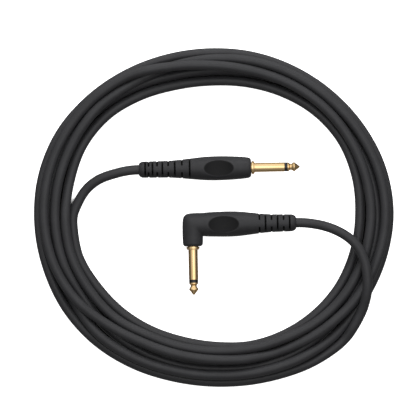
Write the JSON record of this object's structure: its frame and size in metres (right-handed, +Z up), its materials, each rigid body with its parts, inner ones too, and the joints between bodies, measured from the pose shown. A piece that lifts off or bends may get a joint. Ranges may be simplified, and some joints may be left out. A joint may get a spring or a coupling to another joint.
{
  "type": "instrument cable",
  "caption": "Coiled black instrument cable with a straight phone plug on one end and a right-angle phone plug on the other, gold contacts and slotted moulded strain reliefs.",
  "frame": {"origin": "on the surface the cable rests on, under the middle of the box round the two plugs", "axes": "+Z up from the surface; +X from the straight plug's strain relief to its tip, along its axis; -Y from the right-angle plug's collar to its tip, so its shaft points along -Y and its cable leaves along +X"},
  "size_m": [0.245, 0.2308, 0.0198],
  "materials": {
    "gold_plate": "polished gold plating over brass",
    "black_insulator": "smooth black plastic",
    "white_insulator": "natural white plastic",
    "tinned_steel": "tinned, dull",
    "solder": "bright solder",
    "moulded_body": "satin black moulded PVC",
    "cable_jacket": "semi-matte black PVC",
    "bare_copper": "bare copper strands",
    "conductive_plastic": "matte black conductive plastic"
  },
  "bodies": {
    "root": {"straight_tip_contact": "gold_plate", "straight_tip_insulator": "black_insulator", "straight_rod_insulator": "white_insulator", "straight_rear_washer": "black_insulator", "straight_sleeve_contact": "gold_plate", "straight_tip_lug": "tinned_steel", "straight_ground_lug": "tinned_steel", "straight_conductor_end": "bare_copper", "straight_dielectric_end": "white_insulator", "straight_conductive_layer_end": "conductive_plastic", "straight_shield_end": "bare_copper", "straight_jacket_end": "cable_jacket", "straight_tip_solder": "solder", "straight_ground_solder": "solder", "straight_inner_mould": "white_insulator", "straight_overmould": "moulded_body", "angled_tip_contact": "gold_plate", "angled_tip_insulator": "black_insulator", "angled_rod_insulator": "white_insulator", "angled_rear_washer": "black_insulator", "angled_sleeve_contact": "gold_plate", "angled_tip_lug": "tinned_steel", "angled_ground_lug": "tinned_steel", "angled_conductor_end": "bare_copper", "angled_dielectric_end": "white_insulator", "angled_conductive_layer_end": "conductive_plastic", "angled_shield_end": "bare_copper", "angled_jacket_end": "cable_jacket", "angled_tip_solder": "solder", "angled_ground_solder": "solder", "angled_inner_mould": "white_insulator", "angled_overmould": "moulded_body", "cable_coil": "cable_jacket", "cable_tail_straight": "cable_jacket", "cable_tail_angled": "cable_jacket"}
  },
  "joints": []
}
